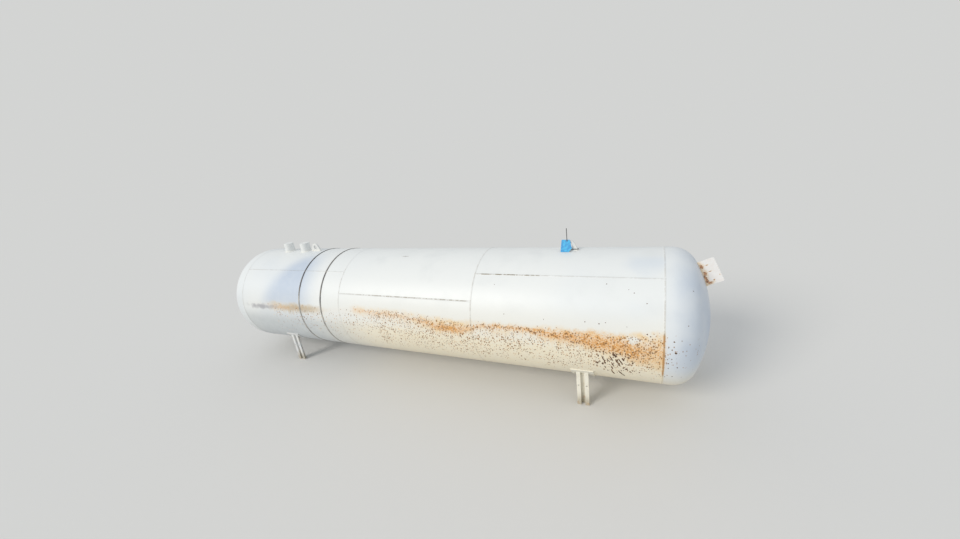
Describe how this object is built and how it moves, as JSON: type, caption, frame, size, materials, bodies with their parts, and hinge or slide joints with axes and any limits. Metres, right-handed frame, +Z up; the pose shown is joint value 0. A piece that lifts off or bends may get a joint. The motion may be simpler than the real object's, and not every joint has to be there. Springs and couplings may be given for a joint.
{
  "type": "horizontal pressure tank",
  "caption": "Horizontal steel pressure tank with dished ends, standing on channel legs with saddle pads, with capped top couplings, lifting lugs and weathered paint.",
  "frame": {"origin": "on the ground under the middle of the overall length", "axes": "+X along the tank towards the end with the standing plate, -Y to the front with the rust band, +Z up"},
  "size_m": [4.8852, 1.047, 1.346],
  "materials": {
    "shell_paint": "weathered semi-gloss white, rust stained low on the front",
    "head_paint": "weathered semi-gloss white",
    "weld_paint": "painted weld beads",
    "band_steel": "dark weathered steel strap",
    "fitting_paint": "semi-gloss white",
    "lug_paint": "white, chipped and rusty at the eye",
    "leg_paint": "weathered white",
    "plate_paint": "weathered white, rusty along its weld",
    "tag_plastic": "plain blue plastic",
    "tie_plastic": "black nylon strap"
  },
  "bodies": {
    "root": {"left_course": "shell_paint", "middle_course": "shell_paint", "right_course": "shell_paint", "left_head": "head_paint", "right_head": "head_paint", "left_head_weld": "weld_paint", "left_girth_weld": "weld_paint", "right_girth_weld": "weld_paint", "right_head_weld": "weld_paint", "left_seam_weld": "weld_paint", "middle_seam_weld": "weld_paint", "right_seam_weld": "weld_paint", "left_band": "band_steel", "right_band": "band_steel", "left_coupling": "fitting_paint", "right_coupling": "fitting_paint", "left_coupling_weld": "fitting_paint", "right_coupling_weld": "fitting_paint", "left_coupling_plug": "fitting_paint", "right_coupling_plug": "fitting_paint", "left_lifting_lug": "lug_paint", "right_lifting_lug": "lug_paint", "front_left_saddle_pad": "leg_paint", "front_right_saddle_pad": "leg_paint", "rear_left_saddle_pad": "leg_paint", "rear_right_saddle_pad": "leg_paint", "front_left_leg": "leg_paint", "front_right_leg": "leg_paint", "rear_left_leg": "leg_paint", "rear_right_leg": "leg_paint", "end_plate": "plate_paint", "lug_tag": "tag_plastic", "tag_tie": "tie_plastic"}
  },
  "joints": []
}
